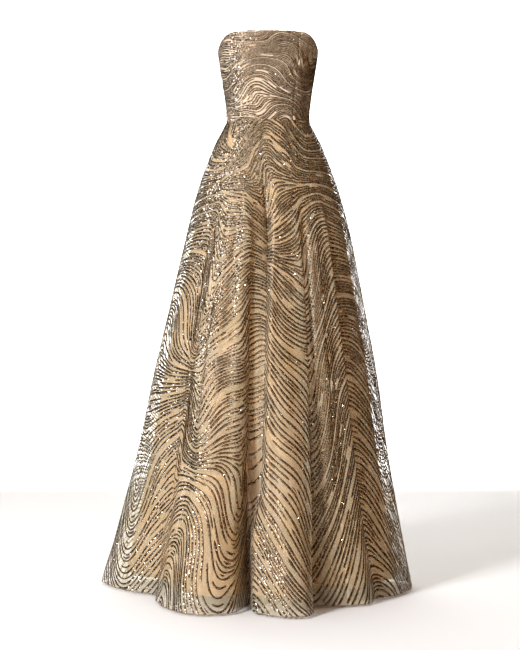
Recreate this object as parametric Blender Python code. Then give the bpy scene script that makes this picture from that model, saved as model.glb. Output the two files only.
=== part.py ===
"""Strapless full-length gown in its worn, hollow form: a princess-seamed bodice, a flared skirt of seven gores
over a shorter lining, and a centre-back zip whose pull tab swings.

Metres, +Z up, front towards -Y, origin at the centre of the waist seam. Left and right are the wearer's own,
so the left is at +X. Azimuths are in degrees round the body from the front, positive towards +X.
"""

from bisect import bisect_right
from collections import namedtuple
from math import asin, ceil, cos, degrees, exp, hypot, pi, radians, sin

import bmesh
import bpy
from mathutils import Vector

# Driving sizes
TOP_FRONT = 0.225
TOP_SIDE_DROP = 0.037
TOP_DROP_FROM = 40.0
TOP_DROP_TO = 92.0
HEM = -1.225
LINING_HEM = -1.190
BODICE_WALL = 0.0030
SKIRT_WALL = 0.0015
LINING_WALL = 0.0015
SEAM_GAP = 0.0003
HALF_GAP = SEAM_GAP / 2.0

# The skirt hangs a little to the wearer's right, from this share of its length down.
SWAY = -0.027
SWAY_FROM = 0.25

# Bust fullness that the princess seams are cut for
BUST_FULLNESS = 0.045
BUST_AZIMUTH = 30.0
BUST_HEIGHT = 0.140
BUST_SPREAD_AZIMUTH = 20.0
BUST_SPREAD_HEIGHT = 0.050

# How late the fold lines turn from their waist azimuth to their hem azimuth on the way down
FOLD_TURN_POWER = 2.2

# The lining lies inside the skirt by this much at the waist and at the hem.
LINING_SPACE_WAIST = 0.0022
LINING_SPACE_HEM = 0.0430
LINING_SPACE_POWER = 0.8
LINING_RIGHT_SHARE = 0.28
LINING_ZIP_SPACE = 0.0040
LINING_ZIP_FULL = 11.0
LINING_ZIP_END = 26.0

# Zip
ZIP_TOP = 0.179
ZIP_END = -0.200
TAPE_OFFSET = 0.0035
TAPE_WALL = 0.0010
TAPE_WIDTH = 0.0120

Section = namedtuple("Section", "height half_width front back fullness")
SECTIONS = (
    Section(0.225, 0.1310, 0.1160, 0.1000, 0.045),
    Section(0.190, 0.1320, 0.1200, 0.1015, 0.045),
    Section(0.150, 0.1272, 0.1200, 0.1000, 0.045),
    Section(0.100, 0.1190, 0.1120, 0.0955, 0.045),
    Section(0.050, 0.1120, 0.1000, 0.0900, 0.040),
    Section(0.015, 0.1095, 0.0950, 0.0875, 0.035),
    Section(0.000, 0.1110, 0.0940, 0.0880, 0.030),
    Section(-0.015, 0.1175, 0.0970, 0.0930, 0.026),
    Section(-0.050, 0.1365, 0.1070, 0.1100, 0.020),
    Section(-0.100, 0.1575, 0.1200, 0.1310, 0.010),
    Section(-0.160, 0.1800, 0.1360, 0.1530, 0.000),
    Section(-0.250, 0.2065, 0.1600, 0.1830, 0.000),
    Section(-0.360, 0.2330, 0.1890, 0.2140, 0.000),
    Section(-0.500, 0.2645, 0.2260, 0.2500, 0.000),
    Section(-0.650, 0.2975, 0.2640, 0.2860, 0.000),
    Section(-0.800, 0.3230, 0.3010, 0.3180, 0.000),
    Section(-0.950, 0.3520, 0.3380, 0.3500, 0.000),
    Section(-1.100, 0.3845, 0.3750, 0.3860, 0.000),
    Section(-1.225, 0.4130, 0.4060, 0.4180, 0.000),
)

# Every seam, and every ridge and valley of the skirt's folds: where it leaves the waist, where it meets the
# hem, how much of the full radius it reaches at the hem, and the height at which it starts.
Line = namedtuple("Line", "name waist hem reach start")
LINES = (
    Line("centre_back", -180.0, -180.0, 0.94, -0.20),
    Line("valley_back_right", -163.0, -167.0, 0.78, -0.18),
    Line("ridge_back_right", -153.0, -154.0, 1.00, -0.20),
    Line("seam_back_right", -142.0, -141.0, 0.91, -0.22),
    Line("valley_side_back_right", -130.0, -128.0, 0.76, -0.25),
    Line("ridge_side_right", -109.0, -107.0, 1.055, -0.20),
    Line("seam_side_right", -90.0, -90.0, 0.900, -0.15),
    Line("foot_of_side_right", -68.0, -78.5, 0.765, -0.12),
    Line("valley_side_right", -47.0, -69.0, 0.690, -0.10),
    Line("flank_front_right", -40.0, -52.0, 0.785, -0.12),
    Line("seam_front_right", -35.0, -38.0, 0.890, -0.15),
    Line("ridge_front_right", -26.0, -20.0, 0.985, -0.15),
    Line("lip_right_of_centre", -18.0, -9.0, 0.860, -0.12),
    Line("valley_centre_front", -11.0, -5.0, 0.600, -0.10),
    Line("lip_left_of_centre", -4.0, -1.0, 0.860, -0.12),
    Line("ridge_front_left", 9.0, 14.5, 1.030, -0.15),
    Line("flank_front_left", 19.0, 20.5, 0.930, -0.20),
    Line("valley_front_left", 26.0, 27.0, 0.700, -0.22),
    Line("foot_of_front_left", 31.0, 34.0, 0.775, -0.25),
    Line("seam_front_left", 35.0, 41.0, 0.825, -0.28),
    Line("ridge_side_front_left", 40.5, 50.0, 0.885, -0.30),
    Line("valley_side_left", 47.0, 62.0, 0.820, -0.28),
    Line("flank_side_left", 66.0, 73.0, 0.905, -0.25),
    Line("seam_side_left", 90.0, 91.0, 0.985, -0.20),
    Line("ridge_side_left", 105.0, 102.0, 1.010, -0.20),
    Line("valley_side_back_left", 126.0, 124.0, 0.770, -0.18),
    Line("seam_back_left", 142.0, 138.0, 0.900, -0.20),
    Line("ridge_back_left", 151.0, 149.0, 0.990, -0.20),
    Line("valley_back_left", 163.0, 163.0, 0.730, -0.15),
    Line("ridge_centre_back", 173.0, 174.0, 0.970, -0.20),
    Line("centre_back_end", 180.0, 180.0, 0.94, -0.20),
)

# The panels of the bodice, skirt and lining, each between two seam lines
Panel = namedtuple("Panel", "name first last")
PANELS = (
    Panel("centre_front", "seam_front_right", "seam_front_left"),
    Panel("side_front_left", "seam_front_left", "seam_side_left"),
    Panel("side_back_left", "seam_side_left", "seam_back_left"),
    Panel("back_left", "seam_back_left", "centre_back_end"),
    Panel("back_right", "centre_back", "seam_back_right"),
    Panel("side_back_right", "seam_back_right", "seam_side_right"),
    Panel("side_front_right", "seam_side_right", "seam_front_right"),
)

# Mesh fineness
SKIRT_COLUMN = 0.034
LINING_COLUMN = 0.062
SKIRT_ROWS = 19
LINING_ROWS = 12
BODICE_ROWS = 9
BODICE_STEP = 9.0
ROW_CROWDING = 1.25
TAPE_COLUMNS = 2
SHARP_ANGLE = radians(40.0)

# How far from a point its surface's direction is measured: up, and as a share of a column's width
NORMAL_RISE = 0.001
NORMAL_TURN = 0.03

# Slider and pull tab, where y runs out from the cloth at the centre back
BASE_WIDTH = 0.0046
BASE_DEPTH = 0.0018
BASE_HEIGHT = 0.0095
BASE_BEVEL = 0.0005
ARCH_WIDTH = 0.0014
ARCH_THICKNESS = 0.0009
ARCH_HALF_LENGTH = 0.0024
ARCH_RISE = 0.0023
ARCH_STEPS = 8
ARCH_ROOT = 0.0006
PULL_BAR = 0.0010
PULL_AXIS_RISE = 0.0011
PULL_LENGTH = 0.0200
PULL_TOP_WIDTH = 0.0042
PULL_FOOT_WIDTH = 0.0056
WINDOW_WIDTH = 0.0022
WINDOW_LENGTH = 0.0048
PULL_CORNER_STEPS = 4

Finish = namedtuple("Finish", "name color roughness metallic")
TULLE = Finish("embroidered_tulle", (0.36, 0.27, 0.19), 0.55, 0.0)
NUDE_LINING = Finish("nude_lining", (0.60, 0.40, 0.24), 0.60, 0.0)
ZIP_TAPE = Finish("zip_tape", (0.45, 0.32, 0.21), 0.85, 0.0)
ZIP_METAL = Finish("zip_metal", (0.48, 0.38, 0.27), 0.35, 1.0)


def clamp(value, low=0.0, high=1.0):
    return min(max(value, low), high)


def mix(first, last, share):
    return first + (last - first) * share


def ease(share):
    share = clamp(share)
    return share * share * (3.0 - 2.0 * share)


def smooth_curve(places, values):
    """A curve through the values, given in rising places, that never swings past them."""
    gaps = [b - a for a, b in zip(places, places[1:])]
    slopes = [(b - a) / gap for a, b, gap in zip(values, values[1:], gaps)]
    tangents = [slopes[0]]
    for before, after in zip(slopes, slopes[1:]):
        turns = before * after <= 0.0
        tangents.append(0.0 if turns else 2.0 * before * after / (before + after))
    tangents.append(slopes[-1])

    def curve(place):
        index = int(clamp(bisect_right(places, place) - 1, 0, len(gaps) - 1))
        gap = gaps[index]
        u = clamp((place - places[index]) / gap)
        start, end = values[index], values[index + 1]
        pull = gap * (tangents[index] * u * (1.0 - u) ** 2 - tangents[index + 1] * u * u * (1.0 - u))
        return mix(start, end, ease(u)) + pull

    return curve


def section_curve(field):
    rows = sorted(SECTIONS, key=lambda row: row.height)
    return smooth_curve([row.height for row in rows], [getattr(row, field) for row in rows])


def line_curve(field):
    """A value of the fold lines as a curve over the hem azimuth, carried on past the centre back."""
    before, after = LINES[-4:-1], LINES[1:4]
    places = [row.hem - 360.0 for row in before]
    places += [row.hem for row in LINES]
    places += [row.hem + 360.0 for row in after]
    turn = 360.0 if field == "waist" else 0.0
    values = [getattr(row, field) - turn for row in before]
    values += [getattr(row, field) for row in LINES]
    values += [getattr(row, field) + turn for row in after]
    return smooth_curve(places, values)


half_width_at = section_curve("half_width")
front_at = section_curve("front")
back_at = section_curve("back")
fullness_at = section_curve("fullness")
waist_azimuth_of = line_curve("waist")
reach_of = line_curve("reach")
start_of = line_curve("start")
LINE_NAMED = {row.name: row for row in LINES}


def sway_at(height):
    share = clamp(height / HEM)
    return SWAY * clamp((share - SWAY_FROM) / (1.0 - SWAY_FROM))


def ring_point(azimuth, height, reach=1.0):
    """A point of the gown's full form, drawn in towards the ring's centre by reach."""
    turn = radians(azimuth)
    across, ahead = sin(turn), -cos(turn)
    depth = front_at(height) if ahead < 0.0 else back_at(height)
    corner = 1.0 + fullness_at(height) * sin(2.0 * turn) ** 2
    x = half_width_at(height) * across * corner * reach
    y = depth * ahead * corner * reach
    return Vector((x + sway_at(height), y, height))


def bodice_point(azimuth, height):
    side = (abs(azimuth) - BUST_AZIMUTH) / BUST_SPREAD_AZIMUTH
    rise = (height - BUST_HEIGHT) / BUST_SPREAD_HEIGHT
    bust = BUST_FULLNESS * exp(-side * side - rise * rise)
    return ring_point(azimuth, height, 1.0 + bust)


def skirt_point(line, height):
    """A point of the skirt on the fold line that meets the hem at the azimuth line."""
    share = clamp(height / HEM)
    azimuth = mix(waist_azimuth_of(line), line, share**FOLD_TURN_POWER)
    start = start_of(line)
    growth = clamp((start - height) / (start - HEM))
    return ring_point(azimuth, height, mix(1.0, reach_of(line), growth))


def lining_point(line, height):
    """The skirt's point drawn in by the lining's space, which is wider on the right and over the zip."""
    outer = skirt_point(line, height)
    share = clamp(height / HEM)
    space = mix(LINING_SPACE_WAIST, LINING_SPACE_HEM, share**LINING_SPACE_POWER)
    space *= 1.0 - LINING_RIGHT_SHARE * share * sin(radians(line))
    from_zip = (180.0 - abs(line) - LINING_ZIP_FULL) / (LINING_ZIP_END - LINING_ZIP_FULL)
    space += LINING_ZIP_SPACE * (1.0 - ease(from_zip))
    keep = 1.0 - space / mix(front_at(height), half_width_at(height), 0.5)
    sway = sway_at(height)
    return Vector((sway + (outer.x - sway) * keep, outer.y * keep, height))


def top_edge(azimuth):
    """The height of the bodice's top edge, straight over the bust and lower at the sides and back."""
    return TOP_FRONT - TOP_SIDE_DROP * ease((abs(azimuth) - TOP_DROP_FROM) / (TOP_DROP_TO - TOP_DROP_FROM))


def normal_of(surface, place, turn, height, low, high):
    """The outward normal of a surface at a place, from points a little to each side of it."""
    across = surface(place + turn, height) - surface(place - turn, height)
    above, below = min(height + NORMAL_RISE, high), max(height - NORMAL_RISE, low)
    up = surface(place, above) - surface(place, below)
    return across.cross(up).normalized()


def wall(name, finish, surface, places, heights_at, outer, inner):
    """One closed cloth wall between two offsets inwards from a surface, with its seam edges half a gap back."""
    rows = len(heights_at(places[0]))
    turn = abs(places[1] - places[0]) * NORMAL_TURN
    neighbours = {0: places[1], len(places) - 1: places[-2]}
    outside, inside = [], []
    for column, place in enumerate(places):
        heights = heights_at(place)
        low, high = min(heights), max(heights)
        for row, height in enumerate(heights):
            point = surface(place, height)
            if column in neighbours:
                inwards = surface(mix(place, neighbours[column], NORMAL_TURN), height) - point
                point = point + inwards.normalized() * HALF_GAP
            normal = normal_of(surface, place, turn, height, low, high)
            skin, back = point - normal * outer, point - normal * inner
            if row in (0, rows - 1):
                skin.z = height
                back.z = height
            outside.append(skin)
            inside.append(back)
    count = len(outside)
    faces = []
    for column in range(len(places) - 1):
        for row in range(rows - 1):
            a = column * rows + row
            b = a + rows
            faces.append((a, b, b + 1, a + 1))
            faces.append((count + a, count + a + 1, count + b + 1, count + b))
    for column in range(len(places) - 1):
        for row, order in ((0, 1), (rows - 1, -1)):
            a = column * rows + row
            faces.append((a, count + a, count + a + rows, a + rows)[::order])
    for row in range(rows - 1):
        for start, order in ((0, 1), ((len(places) - 1) * rows, -1)):
            a = start + row
            faces.append((a, a + 1, count + a + 1, count + a)[::order])
    return new_object(name, finish, outside + inside, faces)


def new_object(name, finish, points, faces):
    mesh = bpy.data.meshes.new(name)
    mesh.from_pydata(points, [], faces)
    body = bmesh.new()
    body.from_mesh(mesh)
    bmesh.ops.recalc_face_normals(body, faces=body.faces)
    body.to_mesh(mesh)
    body.free()
    mesh.update()
    thing = bpy.data.objects.new(name, mesh)
    bpy.context.collection.objects.link(thing)
    mesh.materials.append(material_of(finish))
    mesh.shade_smooth()
    mesh.set_sharp_from_angle(angle=SHARP_ANGLE)
    return thing


def material_of(finish):
    found = bpy.data.materials.get(finish.name)
    if found:
        return found
    material = bpy.data.materials.new(finish.name)
    material.use_nodes = True
    shader = material.node_tree.nodes["Principled BSDF"]
    shader.inputs["Base Color"].default_value = (*finish.color, 1.0)
    shader.inputs["Roughness"].default_value = finish.roughness
    shader.inputs["Metallic"].default_value = finish.metallic
    return material


def crowded_heights(bottom, rows):
    """Heights from just under the waist seam down, closer together over the hip."""
    depth = -HALF_GAP - bottom
    return [-HALF_GAP - depth * (row / rows) ** ROW_CROWDING for row in range(rows + 1)]


def line_places(panel, surface, bottom, spacing):
    """The places of a gore's columns: on each fold line, and between them where they lie far apart."""
    first, last = LINE_NAMED[panel.first].hem, LINE_NAMED[panel.last].hem
    inside = [row.hem for row in LINES if first < row.hem < last]
    stops = [first] + inside + [last]
    places = [first]
    for start, end in zip(stops, stops[1:]):
        a, b = surface(start, bottom), surface(end, bottom)
        steps = max(2, ceil(hypot(b.x - a.x, b.y - a.y) / spacing))
        places += [mix(start, end, (step + 1) / steps) for step in range(steps)]
    return places


def build_skirt():
    heights = crowded_heights(HEM, SKIRT_ROWS)
    for panel in PANELS:
        places = line_places(panel, skirt_point, HEM, SKIRT_COLUMN)
        wall(f"skirt_{panel.name}", TULLE, skirt_point, places, lambda place: heights, 0.0, SKIRT_WALL)


def build_lining():
    heights = crowded_heights(LINING_HEM, LINING_ROWS)
    for panel in PANELS:
        places = line_places(panel, lining_point, LINING_HEM, LINING_COLUMN)
        wall(f"lining_{panel.name}", NUDE_LINING, lining_point, places, lambda place: heights, 0.0, LINING_WALL)


def build_bodice():
    for panel in PANELS:
        first, last = LINE_NAMED[panel.first].waist, LINE_NAMED[panel.last].waist
        steps = ceil((last - first) / BODICE_STEP)
        places = [mix(first, last, step / steps) for step in range(steps + 1)]
        wall(f"bodice_{panel.name}", TULLE, bodice_point, places, bodice_heights, 0.0, BODICE_WALL)


def bodice_heights(azimuth):
    top = top_edge(azimuth)
    return [mix(HALF_GAP, top, row / BODICE_ROWS) for row in range(BODICE_ROWS + 1)]


def tape_point(past, height):
    """A point of the gown's back, this far past the centre back from the left to the right."""
    azimuth = 180.0 - degrees(asin(abs(past) / half_width_at(height)))
    azimuth = -azimuth if past > 0.0 else azimuth
    return bodice_point(azimuth, height) if height > 0.0 else skirt_point(azimuth, height)


def build_zip_tapes():
    """Two tapes behind the back panels, with the panels' own rows so that they follow the waist's bend."""
    below = [height for height in crowded_heights(HEM, SKIRT_ROWS)[1:] if height > ZIP_END]
    above = [height for height in bodice_heights(180.0)[1:] if height < ZIP_TOP]
    heights = [ZIP_END] + below[::-1] + [0.0] + above + [ZIP_TOP]
    widths = [TAPE_WIDTH * step / TAPE_COLUMNS for step in range(TAPE_COLUMNS + 1)]
    offsets = TAPE_OFFSET, TAPE_OFFSET + TAPE_WALL
    left_places = [-width for width in widths[::-1]]
    wall("zip_tape_left", ZIP_TAPE, tape_point, left_places, lambda place: heights, *offsets)
    wall("zip_tape_right", ZIP_TAPE, tape_point, widths, lambda place: heights, *offsets)


def slider_seat():
    """The slider's seat at the top of the zip: its height, and the y just clear of the cloth behind it."""
    middle = ZIP_TOP - BASE_HEIGHT / 2.0
    cloth = max(bodice_point(180.0, ZIP_TOP).y, bodice_point(180.0, ZIP_TOP - BASE_HEIGHT).y)
    return middle, cloth + SEAM_GAP


def bevelled_box(name, finish, size, centre, bevel):
    body = bmesh.new()
    bmesh.ops.create_cube(body, size=1.0)
    bmesh.ops.scale(body, vec=size, verts=body.verts)
    bmesh.ops.bevel(body, geom=body.edges, offset=bevel, segments=1, affect="EDGES", profile=0.5)
    bmesh.ops.translate(body, vec=centre, verts=body.verts)
    mesh = bpy.data.meshes.new(name)
    body.to_mesh(mesh)
    body.free()
    mesh.materials.append(material_of(finish))
    thing = bpy.data.objects.new(name, mesh)
    bpy.context.collection.objects.link(thing)
    return thing


def build_slider():
    """A bevelled base with an arch over it, under which the pull's bar turns."""
    height, seat = slider_seat()
    size = (BASE_WIDTH, BASE_DEPTH, BASE_HEIGHT)
    middle = (0.0, seat + BASE_DEPTH / 2.0, height)
    base = bevelled_box("zip_slider", ZIP_METAL, size, middle, BASE_BEVEL)
    face = seat + BASE_DEPTH
    points = []
    for step in range(ARCH_STEPS + 1):
        turn = pi * step / ARCH_STEPS
        for reach in (0.0, ARCH_THICKNESS):
            out = (ARCH_RISE + reach) * sin(turn)
            if step in (0, ARCH_STEPS):
                out = -ARCH_ROOT
            along = (ARCH_HALF_LENGTH + reach) * cos(turn)
            for side in (-0.5, 0.5):
                points.append((side * ARCH_WIDTH, face + out, height + along))
    faces = [(0, 1, 3, 2), (4 * ARCH_STEPS, 4 * ARCH_STEPS + 2, 4 * ARCH_STEPS + 3, 4 * ARCH_STEPS + 1)]
    for step in range(ARCH_STEPS):
        a = 4 * step
        faces += [(a + 1, a, a + 4, a + 5), (a, a + 2, a + 6, a + 4)]
        faces += [(a + 2, a + 3, a + 7, a + 6), (a + 3, a + 1, a + 5, a + 7)]
    arch = new_object("slider_arch", ZIP_METAL, points, faces)
    arch.hide_render = True
    arch.display_type = "WIRE"
    join = base.modifiers.new("arch", "BOOLEAN")
    join.operation = "UNION"
    join.solver = "EXACT"
    join.object = arch


def build_pull():
    """A flat tab with a window, whose top bar lies in the slider's arch. It hangs from the bar's axis."""
    height, seat = slider_seat()
    axis = Vector((0.0, seat + BASE_DEPTH + PULL_AXIS_RISE, height))
    half_bar = PULL_BAR / 2.0
    foot_radius = PULL_FOOT_WIDTH / 2.0
    foot_centre = -(PULL_LENGTH - half_bar - foot_radius)
    outline = [(PULL_TOP_WIDTH / 2.0, half_bar), (-PULL_TOP_WIDTH / 2.0, half_bar)]
    for step in range(2 * PULL_CORNER_STEPS + 1):
        turn = pi + pi * step / (2 * PULL_CORNER_STEPS)
        outline.append((foot_radius * cos(turn), foot_centre + foot_radius * sin(turn)))
    bottom = -half_bar - WINDOW_LENGTH
    half_window = WINDOW_WIDTH / 2.0
    window = [(half_window, -half_bar), (-half_window, -half_bar)]
    for step in range(2 * PULL_CORNER_STEPS + 1):
        window.append((mix(-half_window, half_window, step / (2 * PULL_CORNER_STEPS)), bottom))
    count = len(outline)
    points = []
    for side in (half_bar, -half_bar):
        points += [(x, side, z) for x, z in outline]
        points += [(x, side, z) for x, z in window]
    back = 2 * count
    faces = []
    for i in range(count):
        j = (i + 1) % count
        faces.append((i, j, count + j, count + i))
        faces.append((back + j, back + i, back + count + i, back + count + j))
        faces.append((j, i, back + i, back + j))
        faces.append((count + i, count + j, back + count + j, back + count + i))
    tab = new_object("zip_pull", ZIP_METAL, points, faces)
    tab.location = axis


def clear_scene():
    for thing in list(bpy.data.objects):
        bpy.data.objects.remove(thing, do_unlink=True)


clear_scene()
build_bodice()
build_skirt()
build_lining()
build_zip_tapes()
build_slider()
build_pull()
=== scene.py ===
"""Looks of a strapless gown: glitter-embroidered tulle over a nude satin lining, on the gown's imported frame.

Metres, +Z up, front towards -Y, origin at the centre of the waist seam. Left and right are the wearer's own,
so the left is at +X. Azimuths are in degrees round the body from the front, positive towards +X. A place on
the skirt is named by its line, which is the azimuth where that fold line meets the hem.
"""

from collections import namedtuple
from math import cos, pi, radians, sin

import bpy
import numpy as np
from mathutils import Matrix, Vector


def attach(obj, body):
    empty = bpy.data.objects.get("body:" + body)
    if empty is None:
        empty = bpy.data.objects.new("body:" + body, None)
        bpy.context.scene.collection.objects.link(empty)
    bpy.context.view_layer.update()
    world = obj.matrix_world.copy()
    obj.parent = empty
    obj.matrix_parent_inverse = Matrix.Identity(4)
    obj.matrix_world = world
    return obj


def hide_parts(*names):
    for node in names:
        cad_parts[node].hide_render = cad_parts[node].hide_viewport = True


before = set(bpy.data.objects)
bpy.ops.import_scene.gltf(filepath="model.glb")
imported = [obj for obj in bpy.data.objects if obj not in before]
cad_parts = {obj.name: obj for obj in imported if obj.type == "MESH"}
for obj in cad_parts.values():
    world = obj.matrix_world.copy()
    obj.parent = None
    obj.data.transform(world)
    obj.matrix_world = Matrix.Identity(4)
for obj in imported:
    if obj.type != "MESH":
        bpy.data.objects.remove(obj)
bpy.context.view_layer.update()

MM = 0.001


def rows_of(kind, *rows):
    """A table's rows, each as a named tuple of one kind."""
    return tuple(kind(*row) for row in rows)


# The gown's form, as the solids have it
TOP_FRONT = 0.225
TOP_SIDE_DROP = 0.037
TOP_DROP_FROM = 40.0
TOP_DROP_TO = 92.0
HEM = -1.225
LINING_HEM = -1.190
HALF_GAP = 0.15 * MM
SWAY = -0.027
SWAY_FROM = 0.25
BUST_FULLNESS = 0.045
BUST_AZIMUTH = 30.0
BUST_HEIGHT = 0.140
BUST_SPREAD_AZIMUTH = 20.0
BUST_SPREAD_HEIGHT = 0.050
FOLD_TURN_POWER = 2.2
LINING_SPACE_WAIST = 2.2 * MM
LINING_SPACE_HEM = 43.0 * MM
LINING_SPACE_POWER = 0.8
LINING_RIGHT_SHARE = 0.28
LINING_ZIP_SPACE = 4.0 * MM
LINING_ZIP_FULL = 11.0
LINING_ZIP_END = 26.0
ZIP_TOP = 0.179
ZIP_END = -0.200
TAPE_OFFSET = 3.5 * MM
TAPE_WALL = 1.0 * MM
TAPE_WIDTH = 12.0 * MM
BODICE_WALL = 2.2 * MM
LINING_WALL = 0.8 * MM

Section = namedtuple("Section", "height half_width front back fullness")
SECTIONS = rows_of(
    Section,
    (0.225, 0.1310, 0.1160, 0.1000, 0.045),
    (0.190, 0.1320, 0.1200, 0.1015, 0.045),
    (0.150, 0.1272, 0.1200, 0.1000, 0.045),
    (0.100, 0.1190, 0.1120, 0.0955, 0.045),
    (0.050, 0.1120, 0.1000, 0.0900, 0.040),
    (0.015, 0.1095, 0.0950, 0.0875, 0.035),
    (0.000, 0.1110, 0.0940, 0.0880, 0.030),
    (-0.015, 0.1175, 0.0970, 0.0930, 0.026),
    (-0.050, 0.1365, 0.1070, 0.1100, 0.020),
    (-0.100, 0.1575, 0.1200, 0.1310, 0.010),
    (-0.160, 0.1800, 0.1360, 0.1530, 0.000),
    (-0.250, 0.2065, 0.1600, 0.1830, 0.000),
    (-0.360, 0.2330, 0.1890, 0.2140, 0.000),
    (-0.500, 0.2645, 0.2260, 0.2500, 0.000),
    (-0.650, 0.2975, 0.2640, 0.2860, 0.000),
    (-0.800, 0.3230, 0.3010, 0.3180, 0.000),
    (-0.950, 0.3520, 0.3380, 0.3500, 0.000),
    (-1.100, 0.3845, 0.3750, 0.3860, 0.000),
    (-1.225, 0.4130, 0.4060, 0.4180, 0.000),
)

Line = namedtuple("Line", "name waist hem reach start")
LINES = rows_of(
    Line,
    ("centre_back", -180.0, -180.0, 0.94, -0.20),
    ("valley_back_right", -163.0, -167.0, 0.78, -0.18),
    ("ridge_back_right", -153.0, -154.0, 1.00, -0.20),
    ("seam_back_right", -142.0, -141.0, 0.91, -0.22),
    ("valley_side_back_right", -130.0, -128.0, 0.76, -0.25),
    ("ridge_side_right", -109.0, -107.0, 1.055, -0.20),
    ("seam_side_right", -90.0, -90.0, 0.900, -0.15),
    ("foot_of_side_right", -68.0, -78.5, 0.765, -0.12),
    ("valley_side_right", -47.0, -69.0, 0.690, -0.10),
    ("flank_front_right", -40.0, -52.0, 0.785, -0.12),
    ("seam_front_right", -35.0, -38.0, 0.890, -0.15),
    ("ridge_front_right", -26.0, -20.0, 0.985, -0.15),
    ("lip_right_of_centre", -18.0, -9.0, 0.860, -0.12),
    ("valley_centre_front", -11.0, -5.0, 0.600, -0.10),
    ("lip_left_of_centre", -4.0, -1.0, 0.860, -0.12),
    ("ridge_front_left", 9.0, 14.5, 1.030, -0.15),
    ("flank_front_left", 19.0, 20.5, 0.930, -0.20),
    ("valley_front_left", 26.0, 27.0, 0.700, -0.22),
    ("foot_of_front_left", 31.0, 34.0, 0.775, -0.25),
    ("seam_front_left", 35.0, 41.0, 0.825, -0.28),
    ("ridge_side_front_left", 40.5, 50.0, 0.885, -0.30),
    ("valley_side_left", 47.0, 62.0, 0.820, -0.28),
    ("flank_side_left", 66.0, 73.0, 0.905, -0.25),
    ("seam_side_left", 90.0, 91.0, 0.985, -0.20),
    ("ridge_side_left", 105.0, 102.0, 1.010, -0.20),
    ("valley_side_back_left", 126.0, 124.0, 0.770, -0.18),
    ("seam_back_left", 142.0, 138.0, 0.900, -0.20),
    ("ridge_back_left", 151.0, 149.0, 0.990, -0.20),
    ("valley_back_left", 163.0, 163.0, 0.730, -0.15),
    ("ridge_centre_back", 173.0, 174.0, 0.970, -0.20),
    ("centre_back_end", 180.0, 180.0, 0.94, -0.20),
)
LINE_NAMED = {row.name: row for row in LINES}

# The panels of the bodice, skirt and lining, each between two seam lines
Panel = namedtuple("Panel", "name first last")
PANELS = rows_of(
    Panel,
    ("centre_front", "seam_front_right", "seam_front_left"),
    ("side_front_left", "seam_front_left", "seam_side_left"),
    ("side_back_left", "seam_side_left", "seam_back_left"),
    ("back_left", "seam_back_left", "centre_back_end"),
    ("back_right", "centre_back", "seam_back_right"),
    ("side_back_right", "seam_back_right", "seam_side_right"),
    ("side_front_right", "seam_side_right", "seam_front_right"),
)

# What each cloth was cut to: its greatest width and length in metres, and its area in square metres. The
# skirt's gores count their seam allowances. Each panel has its bodice, skirt and lining cloth in turn.
Cut = namedtuple("Cut", "width length area")
CUTS = {
    "centre_front": rows_of(Cut, (0.166, 0.230, 0.035), (0.847, 1.266, 0.611), (0.709, 1.221, 0.504)),
    "side_front_left": rows_of(Cut, (0.127, 0.230, 0.024), (0.355, 1.259, 0.316), (0.310, 1.217, 0.260)),
    "side_back_left": rows_of(Cut, (0.101, 0.190, 0.018), (0.372, 1.261, 0.317), (0.323, 1.218, 0.260)),
    "back_left": rows_of(Cut, (0.088, 0.190, 0.015), (0.419, 1.268, 0.290), (0.344, 1.222, 0.232)),
    "back_right": rows_of(Cut, (0.088, 0.190, 0.015), (0.344, 1.272, 0.267), (0.291, 1.224, 0.214)),
    "side_back_right": rows_of(Cut, (0.101, 0.190, 0.018), (0.453, 1.277, 0.343), (0.366, 1.226, 0.274)),
    "side_front_right": rows_of(Cut, (0.127, 0.230, 0.024), (0.353, 1.262, 0.302), (0.289, 1.216, 0.240)),
}
TAPE_CUTS = {"left": Cut(0.0142, 0.396, 0.0052), "right": Cut(0.0161, 0.398, 0.0056)}

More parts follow.
